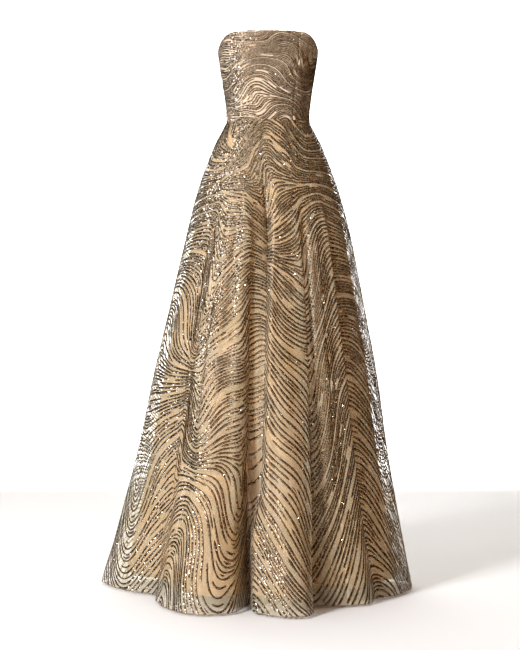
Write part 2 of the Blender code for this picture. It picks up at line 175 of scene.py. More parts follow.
# Secondary creases of the skirt: the line and height where each starts and ends, its width
# and its depth out of the cloth, in millimetres. Troughs are negative.
Crease = namedtuple("Crease", "line top foot_line foot width depth")
SKIRT_CREASES = rows_of(
    Crease,
    (-33.0, -0.16, -33.5, -1.16, 15.0, -2.6),
    (-28.0, -0.42, -27.0, -1.225, 19.0, 3.2),
    (-16.0, -0.20, -14.0, -1.00, 13.0, -2.2),
    (-6.6, -0.18, -6.8, -1.06, 14.0, 19.0),
    (1.6, -0.13, -3.0, -1.04, 19.0, -25.0),
    (-0.2, -0.14, -4.4, -1.06, 9.0, -20.0),
    (8.0, -0.20, 4.4, -1.08, 12.0, 9.0),
    (11.0, -0.50, 11.0, -1.225, 14.0, 3.0),
    (17.0, -0.25, 17.5, -1.10, 11.0, -2.0),
    (22.5, -0.20, 22.5, -1.12, 11.0, 6.0),
    (27.0, -0.22, 27.0, -1.04, 12.0, -13.0),
    (33.0, -0.55, 31.0, -1.225, 15.0, -2.8),
    (38.5, -0.20, 37.5, -0.98, 12.0, 2.4),
    (46.0, -0.46, 45.0, -1.225, 16.0, -3.2),
    (54.0, -0.18, 53.5, -1.06, 16.0, 5.0),
    (61.0, -0.24, 61.0, -1.04, 14.0, -10.0),
    (67.0, -0.38, 67.5, -1.225, 14.0, -2.6),
    (80.0, -0.22, 79.0, -0.95, 20.0, -3.0),
    (85.0, -0.60, 86.0, -1.225, 15.0, 3.4),
    (97.0, -0.30, 96.5, -1.12, 13.0, -2.4),
    (110.0, -0.16, 109.0, -1.225, 19.0, 3.0),
    (118.0, -0.48, 117.0, -1.225, 14.0, -2.8),
    (131.0, -0.24, 130.0, -1.02, 16.0, 2.6),
    (144.0, -0.36, 143.5, -1.225, 12.0, -2.4),
    (155.0, -0.20, 155.5, -1.225, 17.0, -3.0),
    (168.0, -0.42, 168.0, -1.10, 13.0, 2.6),
    (-174.0, -0.30, -173.0, -1.225, 16.0, -2.8),
    (-160.0, -0.22, -160.5, -1.04, 14.0, 2.4),
    (-148.0, -0.46, -147.0, -1.225, 18.0, -3.2),
    (-135.0, -0.26, -134.0, -1.12, 13.0, 2.8),
    (-119.0, -0.18, -118.0, -1.225, 19.0, -3.0),
    (-113.0, -0.52, -112.0, -1.225, 12.0, 2.6),
    (-99.0, -0.34, -98.5, -1.225, 15.0, -2.6),
    (-84.0, -0.20, -85.0, -1.08, 13.0, 2.4),
    (-73.5, -0.44, -74.0, -1.225, 12.0, -2.4),
    (-61.0, -0.16, -60.0, -0.96, 16.0, 2.8),
    (-56.0, -0.56, -56.5, -1.225, 14.0, -3.0),
    (-45.0, -0.28, -44.5, -1.225, 17.0, 2.6),
)

# Short waves that only the last hand's breadth above the skirt's hem has
HEM_WAVES = rows_of(
    Crease,
    (-172.0, -1.08, -171.5, -1.225, 26.0, 3.6),
    (-151.0, -1.10, -150.5, -1.225, 22.0, -3.0),
    (-131.0, -1.06, -131.0, -1.225, 30.0, -4.0),
    (-103.0, -1.10, -103.5, -1.225, 24.0, 3.6),
    (-80.0, -1.09, -80.5, -1.225, 20.0, 3.2),
    (-64.0, -1.11, -63.5, -1.225, 26.0, -3.4),
    (-47.5, -1.07, -47.0, -1.225, 28.0, -4.2),
    (-31.0, -1.10, -30.5, -1.225, 20.0, 3.4),
    (-17.0, -1.12, -16.5, -1.225, 22.0, -3.0),
    (5.0, -1.08, 5.0, -1.225, 24.0, -3.8),
    (15.5, -1.11, 15.0, -1.225, 18.0, 3.0),
    (36.5, -1.09, 36.5, -1.225, 26.0, 3.8),
    (53.0, -1.07, 52.0, -1.225, 24.0, -3.6),
    (70.0, -1.11, 70.0, -1.225, 20.0, 3.2),
    (83.0, -1.08, 83.5, -1.225, 28.0, -4.2),
    (106.0, -1.10, 106.0, -1.225, 22.0, -3.2),
    (121.0, -1.06, 120.5, -1.225, 30.0, 4.0),
    (146.0, -1.09, 146.5, -1.225, 22.0, 3.4),
    (165.0, -1.10, 165.0, -1.225, 24.0, -3.6),
)

# Creases of the lining, wider and softer than the skirt's
LINING_CREASES = rows_of(
    Crease,
    (-170.0, -0.35, -169.0, -1.19, 26.0, -3.4),
    (-146.0, -0.50, -145.0, -1.19, 22.0, 3.0),
    (-122.0, -0.30, -121.0, -1.19, 28.0, -3.6),
    (-97.0, -0.45, -97.0, -1.19, 24.0, 3.2),
    (-75.0, -0.35, -76.0, -1.19, 22.0, -3.0),
    (-50.0, -0.50, -50.0, -1.19, 26.0, 3.4),
    (-29.0, -0.40, -29.0, -1.19, 24.0, -3.2),
    (1.6, -0.11, -3.0, -1.04, 23.0, -25.0),
    (-0.2, -0.12, -4.4, -1.06, 13.0, -20.0),
    (4.0, -0.45, 5.0, -1.19, 26.0, 3.2),
    (18.0, -0.55, 18.0, -1.19, 18.0, -2.8),
    (27.0, -0.20, 27.0, -1.04, 16.0, -13.0),
    (61.0, -0.22, 61.0, -1.04, 18.0, -10.0),
    (46.0, -0.35, 45.0, -1.19, 26.0, -3.6),
    (69.0, -0.50, 69.0, -1.19, 22.0, 3.0),
    (98.0, -0.40, 97.0, -1.19, 28.0, -3.4),
    (119.0, -0.45, 119.0, -1.19, 24.0, 3.2),
    (147.0, -0.35, 147.0, -1.19, 22.0, -3.0),
    (171.0, -0.50, 171.0, -1.19, 24.0, 3.0),
)
CREASE_RUN_IN = 0.13
CREASE_RUN_IN_MOST = 0.8

# Drag lines of the bodice: the azimuth and height of both ends, width and depth in millimetres
Drag = namedtuple("Drag", "azimuth height end_azimuth end_height width depth")
DRAG_LINES = rows_of(
    Drag,
    (-44.0, 0.122, -78.0, 0.148, 7.0, -0.9),
    (-40.0, 0.098, -82.0, 0.088, 8.0, -1.1),
    (-52.0, 0.030, -96.0, 0.044, 7.0, -1.2),
    (-20.0, 0.016, -60.0, 0.022, 5.0, -0.8),
    (46.0, 0.118, 84.0, 0.136, 7.0, -1.0),
    (41.0, 0.092, 74.0, 0.070, 8.0, -1.0),
    (55.0, 0.036, 99.0, 0.028, 7.0, -1.2),
    (16.0, 0.020, 50.0, 0.015, 5.0, -0.8),
    (96.0, 0.100, 134.0, 0.112, 8.0, -1.0),
    (104.0, 0.052, 150.0, 0.040, 8.0, -1.3),
    (146.0, 0.016, 176.0, 0.022, 6.0, -1.0),
    (-98.0, 0.108, -132.0, 0.094, 8.0, -1.0),
    (-108.0, 0.046, -152.0, 0.052, 8.0, -1.2),
    (-150.0, 0.024, -176.0, 0.016, 6.0, -0.9),
)


def mix(first, last, share):
    """The value that lies a share of the way from the first to the last."""
    return first + (last - first) * share


def ease(share):
    """A share from 0 to 1 that starts and ends gently."""
    share = np.clip(share, 0.0, 1.0)
    return share * share * (3.0 - 2.0 * share)


def lengths_along(points):
    """Distances from the first point along a row of points, or along each row of a grid."""
    steps = np.linalg.norm(np.diff(points, axis=0), axis=-1)
    return np.concatenate([np.zeros_like(steps[:1]), np.cumsum(steps, axis=0)])


def ring_of(first, second, corners):
    """The corners of a round section at each of a row of points, in the plane of two directions there."""
    turns = 2.0 * pi * np.arange(corners) / corners
    return first[:, None] * np.cos(turns)[:, None] + second[:, None] * np.sin(turns)[:, None]


def unit(vectors):
    """The vectors' directions, each of length one."""
    return vectors / np.linalg.norm(vectors, axis=-1, keepdims=True)


def smooth_curve(places, values):
    """A curve through the values, given in rising places, that never swings past them."""
    places, values = np.array(places), np.array(values)
    gaps = np.diff(places)
    slopes = np.diff(values) / gaps
    before, after = slopes[:-1], slopes[1:]
    same_way = before * after > 0.0
    inner = np.where(same_way, 2.0 * before * after / np.where(same_way, before + after, 1.0), 0.0)
    tangents = np.concatenate([slopes[:1], inner, slopes[-1:]])

    def curve(place):
        index = np.clip(np.searchsorted(places, place, side="right") - 1, 0, len(gaps) - 1)
        gap = gaps[index]
        u = np.clip((place - places[index]) / gap, 0.0, 1.0)
        pull = gap * (tangents[index] * u * (1.0 - u) ** 2 - tangents[index + 1] * u * u * (1.0 - u))
        return mix(values[index], values[index + 1], ease(u)) + pull

    return curve


def section_curve(field):
    """A value of the gown's sections as a curve over the height."""
    rows = sorted(SECTIONS, key=lambda row: row.height)
    return smooth_curve([row.height for row in rows], [getattr(row, field) for row in rows])


def line_curve(field):
    """A value of the fold lines as a curve over the hem azimuth, carried on past the centre back."""
    before, after = LINES[-4:-1], LINES[1:4]
    places = [row.hem - 360.0 for row in before]
    places += [row.hem for row in LINES]
    places += [row.hem + 360.0 for row in after]
    turn = 360.0 if field == "waist" else 0.0
    values = [getattr(row, field) - turn for row in before]
    values += [getattr(row, field) for row in LINES]
    values += [getattr(row, field) + turn for row in after]
    return smooth_curve(places, values)


half_width_at = section_curve("half_width")
front_at = section_curve("front")
back_at = section_curve("back")
fullness_at = section_curve("fullness")
waist_azimuth_of = line_curve("waist")
reach_of = line_curve("reach")
start_of = line_curve("start")


def sway_at(height):
    """How far the skirt's rings stand to the side, more and more on the way down."""
    return SWAY * np.clip((height / HEM - SWAY_FROM) / (1.0 - SWAY_FROM), 0.0, 1.0)


def ring_point(azimuth, height, reach):
    """Points of the gown's full form, drawn in towards the ring's centre by reach."""
    turn = np.radians(azimuth)
    across, ahead = np.sin(turn), -np.cos(turn)
    depth = np.where(ahead < 0.0, front_at(height), back_at(height))
    corner = 1.0 + fullness_at(height) * np.sin(2.0 * turn) ** 2
    x = half_width_at(height) * across * corner * reach + sway_at(height)
    y = depth * ahead * corner * reach
    return np.stack(np.broadcast_arrays(x, y, height), axis=-1)


def bodice_point(azimuth, height):
    """Points of the bodice, fuller over the bust on both sides."""
    side = (np.abs(azimuth) - BUST_AZIMUTH) / BUST_SPREAD_AZIMUTH
    rise = (height - BUST_HEIGHT) / BUST_SPREAD_HEIGHT
    return ring_point(azimuth, height, 1.0 + BUST_FULLNESS * np.exp(-side * side - rise * rise))


def skirt_point(line, height):
    """Points of the skirt on the fold line that meets the hem at the azimuth line."""
    share = np.clip(height / HEM, 0.0, 1.0)
    azimuth = mix(waist_azimuth_of(line), line, share**FOLD_TURN_POWER)
    start = start_of(line)
    growth = np.clip((start - height) / (start - HEM), 0.0, 1.0)
    return ring_point(azimuth, height, mix(1.0, reach_of(line), growth))


def lining_space(line, height):
    """How far the lining lies inside the skirt, wider on the right and over the zip."""
    share = np.clip(height / HEM, 0.0, 1.0)
    space = mix(LINING_SPACE_WAIST, LINING_SPACE_HEM, share**LINING_SPACE_POWER)
    space = space * (1.0 - LINING_RIGHT_SHARE * share * np.sin(np.radians(line)))
    from_zip = (180.0 - np.abs(line) - LINING_ZIP_FULL) / (LINING_ZIP_END - LINING_ZIP_FULL)
    return space + LINING_ZIP_SPACE * (1.0 - ease(from_zip))


def lining_point(line, height):
    """Points of the lining, which follows the skirt's folds a little further in."""
    keep = 1.0 - lining_space(line, height) / mix(front_at(height), half_width_at(height), 0.5)
    point = skirt_point(line, height)
    sway = sway_at(height)
    point[..., 0] = sway + (point[..., 0] - sway) * keep
    point[..., 1] *= keep
    return point


def tape_point(past, height):
    """Points of the gown's back, so far past the centre back from the left to the right."""
    azimuth = 180.0 - np.degrees(np.arcsin(np.abs(past) / half_width_at(height)))
    azimuth = np.where(past > 0.0, -azimuth, azimuth)
    height = np.broadcast_to(height, azimuth.shape)
    return np.where(height[..., None] > 0.0, bodice_point(azimuth, height), skirt_point(azimuth, height))


def top_edge(azimuth):
    """The height of the bodice's top edge, straight over the bust and lower at the sides and back."""
    return TOP_FRONT - TOP_SIDE_DROP * ease((np.abs(azimuth) - TOP_DROP_FROM) / (TOP_DROP_TO - TOP_DROP_FROM))


def crease_relief(creases, line, height):
    """How far the creases raise the cloth here. Each fades in down its run, and out unless it meets a hem."""
    metres = np.radians(1.0) * half_width_at(height)
    relief = np.zeros(np.broadcast(line, height).shape)
    for crease in creases:
        run = (crease.top - height) / (crease.top - crease.foot)
        centre = mix(crease.line, crease.foot_line, run)
        away = (line - centre) * metres / (crease.width * MM)
        length = crease.top - crease.foot
        share = ease((crease.top - height) / min(CREASE_RUN_IN, CREASE_RUN_IN_MOST * length))
        if crease.foot > LINING_HEM:
            share = share * ease((height - crease.foot) / CREASE_RUN_IN)
        relief += crease.depth * MM * np.exp(-away * away) * share
    return relief


def drag_relief(azimuth, height):
    """How far the bodice's drag lines draw its cloth in, deepest at the middle of each."""
    metres = np.radians(1.0) * half_width_at(height)
    relief = np.zeros(np.broadcast(azimuth, height).shape)
    for drag in DRAG_LINES:
        x, z = (azimuth - drag.azimuth) * metres, height - drag.height
        to_x = (drag.end_azimuth - drag.azimuth) * np.radians(1.0) * half_width_at(drag.height)
        to_z = drag.end_height - drag.height
        length = np.hypot(to_x, to_z)
        along = np.clip((x * to_x + z * to_z) / (length * length), 0.0, 1.0)
        away = np.hypot(x - along * to_x, z - along * to_z) / (drag.width * MM)
        relief += drag.depth * MM * np.exp(-away * away) * np.sin(pi * along)
    return relief


# A cloth is a grid of points and outward normals: places across it, rows from its foot up.
Cloth = namedtuple("Cloth", "places rows points normals")
SEAM_SINK = 0.7 * MM
SEAM_SINK_WIDTH = 3.0 * MM
WAIST_SINK = 1.0 * MM
WAIST_SINK_WIDTH = 5.0 * MM


def normals_of(points):
    """The outward normals of a grid of points."""
    across = np.gradient(points, axis=0)
    up = np.gradient(points, axis=1)
    return unit(np.cross(across, up))


def to_seams(points):
    """Each grid point's distance along its row to the nearer seam edge."""
    from_first = lengths_along(points)
    return np.minimum(from_first, from_first[-1:] - from_first)


def cloth_of(surface, places, heights, rows, relief):
    """The grid of a cloth on a surface, with its creases, and drawn in a little along its seams and waist."""
    points = surface(places[:, None], heights)
    edge_shift = np.array([1.0, -1.0])[:, None, None] * HALF_GAP
    inwards = unit(np.stack([points[1] - points[0], points[-1] - points[-2]]))
    points[[0, -1]] += inwards * edge_shift
    normals = normals_of(points)
    sink = SEAM_SINK * np.exp(-((to_seams(points) / SEAM_SINK_WIDTH) ** 2))
    sink = sink + WAIST_SINK * np.exp(-((heights / WAIST_SINK_WIDTH) ** 2))
    points = points + normals * (relief - sink)[..., None]
    return Cloth(places, rows, points, normals_of(points))


def on_cloth(cloth, place, row):
    """Points and normals of a cloth at any place and row."""
    i = np.clip(np.searchsorted(cloth.places, place, side="right") - 1, 0, len(cloth.places) - 2)
    j = np.clip(np.searchsorted(cloth.rows, row, side="right") - 1, 0, len(cloth.rows) - 2)
    u = ((place - cloth.places[i]) / (cloth.places[i + 1] - cloth.places[i]))[..., None]
    v = ((row - cloth.rows[j]) / (cloth.rows[j + 1] - cloth.rows[j]))[..., None]
    found = []
    for grid in (cloth.points, cloth.normals):
        low = mix(grid[i, j], grid[i + 1, j], u)
        high = mix(grid[i, j + 1], grid[i + 1, j + 1], u)
        found.append(mix(low, high, v))
    return found


TRIAL_POINTS = 30


def gore_places(panel, surface, bottom, spacing):
    """Columns of a gore: on each fold line, and evenly between them by the cloth's length at the hem."""
    first, last = LINE_NAMED[panel.first].hem, LINE_NAMED[panel.last].hem
    stops = [first] + [row.hem for row in LINES if first < row.hem < last] + [last]
    places = [first]
    for start, end in zip(stops, stops[1:]):
        tried = surface(np.linspace(start, end, TRIAL_POINTS), np.full(TRIAL_POINTS, bottom))
        length = np.linalg.norm(np.diff(tried, axis=0), axis=-1).sum()
        steps = max(2, round(length / spacing))
        places += list(np.linspace(start, end, steps + 1)[1:])
    return np.array(places)


SKIRT_COLUMN = 8.5 * MM
SKIRT_ROW_COUNT = 104
LINING_COLUMN = 17.0 * MM
LINING_ROW_COUNT = 56
BODICE_COLUMN = 2.0
BODICE_ROW_COUNT = 36
WAIST_FADE = 0.12


def skirt_cloth(panel):
    """The grid of one gore of the skirt. Its creases fade in below the waist."""
    places = gore_places(panel, skirt_point, HEM, SKIRT_COLUMN)
    heights = np.linspace(HEM, -HALF_GAP, SKIRT_ROW_COUNT)
    lines, levels = places[:, None], heights[None, :]
    relief = crease_relief(SKIRT_CREASES + HEM_WAVES, lines, levels)
    return cloth_of(skirt_point, places, levels, heights, relief * ease(-levels / WAIST_FADE))


def lining_cloth(panel):
    """The grid of one gore of the lining."""
    places = gore_places(panel, lining_point, LINING_HEM, LINING_COLUMN)
    heights = np.linspace(LINING_HEM, -HALF_GAP, LINING_ROW_COUNT)
    lines, levels = places[:, None], heights[None, :]
    return cloth_of(lining_point, places, levels, heights, crease_relief(LINING_CREASES, lines, levels))


def bodice_cloth(panel):
    """The grid of one panel of the bodice, in even shares of the way from the waist to the top edge."""
    first, last = LINE_NAMED[panel.first].waist, LINE_NAMED[panel.last].waist
    places = np.linspace(first, last, round((last - first) / BODICE_COLUMN) + 1)
    shares = np.linspace(0.0, 1.0, BODICE_ROW_COUNT)
    azimuths = places[:, None]
    heights = mix(HALF_GAP, top_edge(azimuths), shares[None, :])
    return cloth_of(bodice_point, places, heights, shares, drag_relief(azimuths, heights))


TAPE_COLUMN_COUNT = 5
TAPE_ROW_COUNT = 64


def tape_cloth(from_centre, to_centre):
    """The grid of one zip tape, behind the back panels."""
    places = np.linspace(from_centre, to_centre, TAPE_COLUMN_COUNT)
    heights = np.linspace(ZIP_END, ZIP_TOP, TAPE_ROW_COUNT)
    points = tape_point(places[:, None], heights[None, :])
    normals = normals_of(points)
    return Cloth(places, heights, points - normals * TAPE_OFFSET, normals)


# Materials
# A band texture turns 20 radians for each unit along an axis, and 10 along each of three where it is diagonal
AXIS_BANDS = 2.0 * pi / 20.0
DIAGONAL_BANDS = 2.0 * pi / (10.0 * 3.0**0.5)


def linear(hex_color):
    """An sRGB hex colour as linear RGBA."""
    parts = [int(hex_color[i : i + 2], 16) / 255.0 for i in (1, 3, 5)]
    return (*(c / 12.92 if c <= 0.04045 else ((c + 0.055) / 1.055) ** 2.4 for c in parts), 1.0)


def fill(tree, node, sockets):
    """Sets a node's sockets to values or links. A node given as a source is linked from its first output."""
    for key, value in sockets.items():
        source = value.outputs[0] if isinstance(value, bpy.types.Node) else value
        if isinstance(source, bpy.types.NodeSocket):
            tree.links.new(source, node.inputs[key])
        else:
            node.inputs[key].default_value = source


def add_node(tree, kind, sockets, stops=(), **settings):
    """Adds a shader node with its properties, its sockets and, for a colour ramp, its stops."""
    node = tree.nodes.new("ShaderNode" + kind)
    for name, value in settings.items():
        setattr(node, name, value)
    if stops:
        elements = node.color_ramp.elements
        while len(elements) < len(stops):
            elements.new(0.5)
        for element, (place, color) in zip(elements, stops):
            element.position = place
            element.color = linear(color)
    fill(tree, node, sockets)
    return node


def new_material(name):
    """A material with its node tree, its shader and the object's own coordinates."""
    material = bpy.data.materials.new(name)
    material.use_nodes = True
    tree = material.node_tree
    coords = add_node(tree, "TexCoord", {}).outputs["Object"]
    return material, tree, tree.nodes["Principled BSDF"], coords


def per_metre(millimetres):
    """A texture's scale for a pattern that repeats every so many millimetres."""
    return 1.0 / (millimetres * MM)


def tulle_material():
    """Soft nylon tulle, knitted as an open net: the eye sees a thin warm haze with what lies behind it.
    The real mesh is 1.2 mm, drawn at 2.4 mm so that it still shows."""
    material, tree, shader, coords = new_material("soft_nylon_tulle")
    mesh = add_node(tree, "TexVoronoi", {"Vector": coords, "Scale": per_metre(2.4)},
                    feature="DISTANCE_TO_EDGE")
    threads = add_node(tree, "MapRange", {"Value": mesh, "From Min": 0.02, "From Max": 0.20,
                                          "To Min": 0.48, "To Max": 0.22})
    cloud = add_node(tree, "TexNoise", {"Vector": coords, "Scale": per_metre(90.0), "Detail": 3.0})
    shade = add_node(tree, "ValToRGB", {"Fac": cloud}, [(0.30, "#E2D2A8"), (0.70, "#F0E3C2")])
    fill(tree, shader, {"Base Color": shade, "Alpha": threads, "Roughness": 0.75, "Sheen Weight": 0.25,
                        "Sheen Roughness": 0.4})
    return material


def satin_material():
    """Woven nude satin lining: smooth, with a soft broad gloss, faint lengthwise slubs and low diagonal ribs.
    The real ribs are 0.15 mm apart, drawn 5.8 mm apart so that they show as a soft unevenness."""
    material, tree, shader, coords = new_material("woven_nude_satin")
    cloud = add_node(tree, "TexNoise", {"Vector": coords, "Scale": per_metre(140.0), "Detail": 4.0})
    stretch = add_node(tree, "Mapping", {"Vector": coords, "Scale": (1.0, 1.0, 0.06)})
    slub = add_node(tree, "TexNoise", {"Vector": stretch, "Scale": per_metre(4.0), "Detail": 2.0})
    both = add_node(tree, "Math", {0: cloud, 1: slub}, operation="ADD")
    half = add_node(tree, "Math", {0: both, 1: 0.5}, operation="MULTIPLY")
    shade = add_node(tree, "ValToRGB", {"Fac": half},
                     [(0.30, "#B27C3C"), (0.55, "#C48F4E"), (0.75, "#D4A265")])
    ribs = add_node(tree, "TexWave", {"Vector": coords, "Scale": per_metre(5.8) * DIAGONAL_BANDS,
                                      "Distortion": 0.4}, bands_direction="DIAGONAL").outputs["Fac"]
    bump = add_node(tree, "Bump", {"Height": ribs, "Strength": 0.15, "Distance": 0.0001})
    fill(tree, shader, {"Base Color": shade, "Normal": bump, "Roughness": 0.5, "Sheen Weight": 0.2,
                        "Sheen Roughness": 0.3})
    return material


def laid_tulle_material():
    """The bodice's ground, tulle laid flat on its lining: nude seen through a fine taupe net.
    The real mesh is 1.2 mm, drawn at 2.4 mm so that it still shows."""
    material, tree, shader, coords = new_material("tulle_laid_on_satin")
    mesh = add_node(tree, "TexVoronoi", {"Vector": coords, "Scale": per_metre(2.4)},
                    feature="DISTANCE_TO_EDGE")
    shade = add_node(tree, "ValToRGB", {"Fac": mesh}, [(0.02, "#BBA68C"), (0.22, "#DFC9AB")])
    cloud = add_node(tree, "TexNoise", {"Vector": coords, "Scale": per_metre(45.0), "Detail": 3.0})
    tone = add_node(tree, "MapRange", {"Value": cloud, "To Min": 0.86, "To Max": 1.12})
    toned = add_node(tree, "VectorMath", {0: shade, "Scale": tone}, operation="SCALE")
    bump = add_node(tree, "Bump", {"Height": mesh, "Strength": 0.3, "Distance": 0.0002}, invert=True)
    fill(tree, shader, {"Base Color": toned, "Normal": bump, "Roughness": 0.7, "Sheen Weight": 0.25,
                        "Sheen Roughness": 0.4})
    return material


def glitter_material():
    """Embroidery of metallised yarn and cut glass beads: each bead is its own facet and its own shade, from
    dark bronze to silver. The real beads are 1.8 mm, drawn at 2.6 mm so that they still show."""
    material, tree, shader, coords = new_material("metallised_yarn_and_cut_beads")
    beads = add_node(tree, "TexVoronoi", {"Vector": coords, "Scale": per_metre(2.6)}).outputs["Color"]
    parts = add_node(tree, "SeparateColor", {"Color": beads})
    shade = add_node(tree, "ValToRGB", {"Fac": parts.outputs["Red"]},
                     [(0.0, "#362412"), (0.27, "#6E5538"), (0.55, "#A28B71"), (0.80, "#CFBDA6"),
                      (1.0, "#FBF4EA")])
    gloss = add_node(tree, "MapRange", {"Value": parts.outputs["Green"], "To Min": 0.42, "To Max": 0.62})
    tilt = add_node(tree, "VectorMath", {0: beads, 1: (0.5, 0.5, 0.5)}, operation="SUBTRACT")
    lean = add_node(tree, "VectorMath", {0: tilt, "Scale": 0.9}, operation="SCALE")
    straight = add_node(tree, "NewGeometry", {}).outputs["Normal"]
    tilted = add_node(tree, "VectorMath", {0: straight, 1: lean})
    facet = add_node(tree, "VectorMath", {0: tilted}, operation="NORMALIZE")
    fill(tree, shader, {"Base Color": shade, "Roughness": gloss, "Normal": facet, "Metallic": 1.0})
    return material


def bronze_cord_and_shade_material():
    """Dark bronze cord of metallised yarn, couched along one side of each line, every twist 1.6 mm long. Its
    darkness also paints the shade that falls beside the raised beads.
    """
    material, tree, shader, coords = new_material("bronze_cord_and_painted_shade")
    turns = add_node(tree, "TexVoronoi", {"Vector": coords, "Scale": per_metre(1.6)})
    parts = add_node(tree, "SeparateColor", {"Color": turns.outputs["Color"]})
    shade = add_node(tree, "ValToRGB", {"Fac": parts.outputs["Red"]},
                     [(0.0, "#221408"), (0.60, "#3E2915"), (1.0, "#6B5132")])
    bump = add_node(tree, "Bump", {"Height": turns, "Strength": 0.6, "Distance": 0.0004}, invert=True)
    fill(tree, shader, {"Base Color": shade, "Normal": bump, "Roughness": 0.5, "Metallic": 0.9})
    return material


def sequin_material():
    """Flat sequins of metallised film: thin mirrors in silver, champagne and bronze that flash one by one."""
    material, tree, shader, coords = new_material("metallised_film_sequins")
    lots = add_node(tree, "TexVoronoi", {"Vector": coords, "Scale": per_metre(3.5)})
    parts = add_node(tree, "SeparateColor", {"Color": lots.outputs["Color"]})
    shade = add_node(tree, "ValToRGB", {"Fac": parts.outputs["Blue"]},
                     [(0.0, "#705A3C"), (0.35, "#A99472"), (0.70, "#DACBAE"), (1.0, "#FBF5EA")])
    gloss = add_node(tree, "MapRange", {"Value": parts.outputs["Red"], "To Min": 0.2, "To Max": 0.36})
    fill(tree, shader, {"Base Color": shade, "Roughness": gloss, "Metallic": 1.0})
    return material


def tape_material():
    """Woven polyester zip tape in a matt nude, with ribs along it. The real ribs are 1 mm apart, drawn
    5.65 mm apart so that they still show."""
    material, tree, shader, coords = new_material("woven_zip_tape")
    ribs = add_node(tree, "TexWave", {"Vector": coords, "Scale": per_metre(5.65) * AXIS_BANDS,
                                      "Distortion": 0.3}, bands_direction="X").outputs["Fac"]
    # The ribs' colour follows their height and is darker in the grooves between them: painted shade.
    shade = add_node(tree, "ValToRGB", {"Fac": ribs}, [(0.0, "#A98C68"), (1.0, "#C8AC86")])
    bump = add_node(tree, "Bump", {"Height": ribs, "Strength": 0.5, "Distance": 0.0002})
    fill(tree, shader, {"Base Color": shade, "Normal": bump, "Roughness": 0.85, "Sheen Weight": 0.2})
    return material


def coil_material():
    """Moulded nylon zip coil: smooth, slightly glossy, dyed to the tape, a little uneven in shade."""
    material, tree, shader, coords = new_material("moulded_nylon_coil")
    cloud = add_node(tree, "TexNoise", {"Vector": coords, "Scale": per_metre(3.0)})
    shade = add_node(tree, "ValToRGB", {"Fac": cloud}, [(0.35, "#B79B76"), (0.65, "#D2B892")])
    fill(tree, shader, {"Base Color": shade, "Roughness": 0.35})
    return material


def zip_metal_material():
    """Die-cast zinc slider, tumbled and lacquered champagne: satin gloss with faint tumbling marks."""
    material, tree, shader, coords = new_material("lacquered_zinc")
    marks = add_node(tree, "TexNoise", {"Vector": coords, "Scale": per_metre(0.9), "Detail": 5.0})
    shade = add_node(tree, "ValToRGB", {"Fac": marks}, [(0.30, "#A8967A"), (0.70, "#CDBC9F")])
    gloss = add_node(tree, "MapRange", {"Value": marks, "To Min": 0.2, "To Max": 0.45})
    bump = add_node(tree, "Bump", {"Height": marks, "Strength": 0.2, "Distance": 0.0001})
    fill(tree, shader, {"Base Color": shade, "Roughness": gloss, "Normal": bump, "Metallic": 1.0,
                        "Coat Weight": 0.3})
    return material


def hem_thread_material():
    """Polyester thread of the hems, wound over the cut edge: matt taupe with a stitch every 1.5 mm."""
    material, tree, shader, coords = new_material("overlocked_hem_thread")
    wraps = add_node(tree, "TexVoronoi", {"Vector": coords, "Scale": per_metre(1.5)})
    # Darker towards the edges of each wrap, where the thread sinks between wraps: painted shade.
    shade = add_node(tree, "ValToRGB", {"Fac": wraps}, [(0.0, "#A89678"), (0.6, "#6F5F49")])
    bump = add_node(tree, "Bump", {"Height": wraps, "Strength": 0.6, "Distance": 0.0003}, invert=True)
    fill(tree, shader, {"Base Color": shade, "Normal": bump, "Roughness": 0.8})
    return material


def paper_material():
    """Matt studio paper: near white, with the slightest unevenness."""
    material, tree, shader, coords = new_material("studio_paper")
    cloud = add_node(tree, "TexNoise", {"Vector": coords, "Scale": per_metre(1250.0), "Detail": 2.0})
    shade = add_node(tree, "ValToRGB", {"Fac": cloud}, [(0.3, "#FAFAF9"), (0.7, "#FDFDFC")])
    fill(tree, shader, {"Base Color": shade, "Roughness": 0.95, "Specular IOR Level": 0.1})
    return material


# Meshes
def new_piece(name, points, faces, materials, face_materials=None):
    """A mesh piece of the gown in its finishes, which rides with the gown."""
    mesh = bpy.data.meshes.new(name)
    faces = np.asarray(faces)
    count, corners = faces.shape
    mesh.vertices.add(len(points))
    mesh.vertices.foreach_set("co", np.ascontiguousarray(points, dtype=np.float32).ravel())
    mesh.loops.add(count * corners)
    mesh.loops.foreach_set("vertex_index", faces.astype(np.int32).ravel())
    mesh.polygons.add(count)
    mesh.polygons.foreach_set("loop_start", np.arange(0, count * corners, corners, dtype=np.int32))
    for material in materials:
        mesh.materials.append(material)
    if face_materials is not None:
        mesh.polygons.foreach_set("material_index", np.asarray(face_materials, dtype=np.int32))
    mesh.update(calc_edges=True)
    mesh.validate()
    mesh.shade_smooth()
    piece = bpy.data.objects.new(name, mesh)
    bpy.context.collection.objects.link(piece)
    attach(piece, "gown")
    return piece


def hang(cloth, node, cut, **held):
    """Hides the solid whose place the cloth takes."""
    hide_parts(node)


def grid_faces(columns, rows, start=0):
    """Quads between neighbouring points of a grid that is stored column by column, facing out."""
    a = (start + np.arange(columns - 1)[:, None] * rows + np.arange(rows - 1)[None, :]).ravel()
    return np.stack([a, a + rows, a + rows + 1, a + 1], axis=1)


ALLOWANCE_WIDTH = 7.0 * MM
ALLOWANCE_DROP = 0.5 * MM
ALLOWANCE_COLUMNS = 12


def seam_allowance(cloth, edge):
    """The strip of cloth turned back under a seam edge, seen through the tulle as a denser line."""
    order = slice(None) if edge == 0 else slice(None, None, -1)
    points, normals = cloth.points[order], cloth.normals[order]
    near = points[:ALLOWANCE_COLUMNS]
    lengths = lengths_along(near)
    back = np.empty_like(points[0])
    for row in range(points.shape[1]):
        for axis in range(3):
            back[row, axis] = np.interp(ALLOWANCE_WIDTH, lengths[:, row], near[:, row, axis])
    return points[0] - normals[0] * ALLOWANCE_DROP, back - normals[0] * ALLOWANCE_DROP


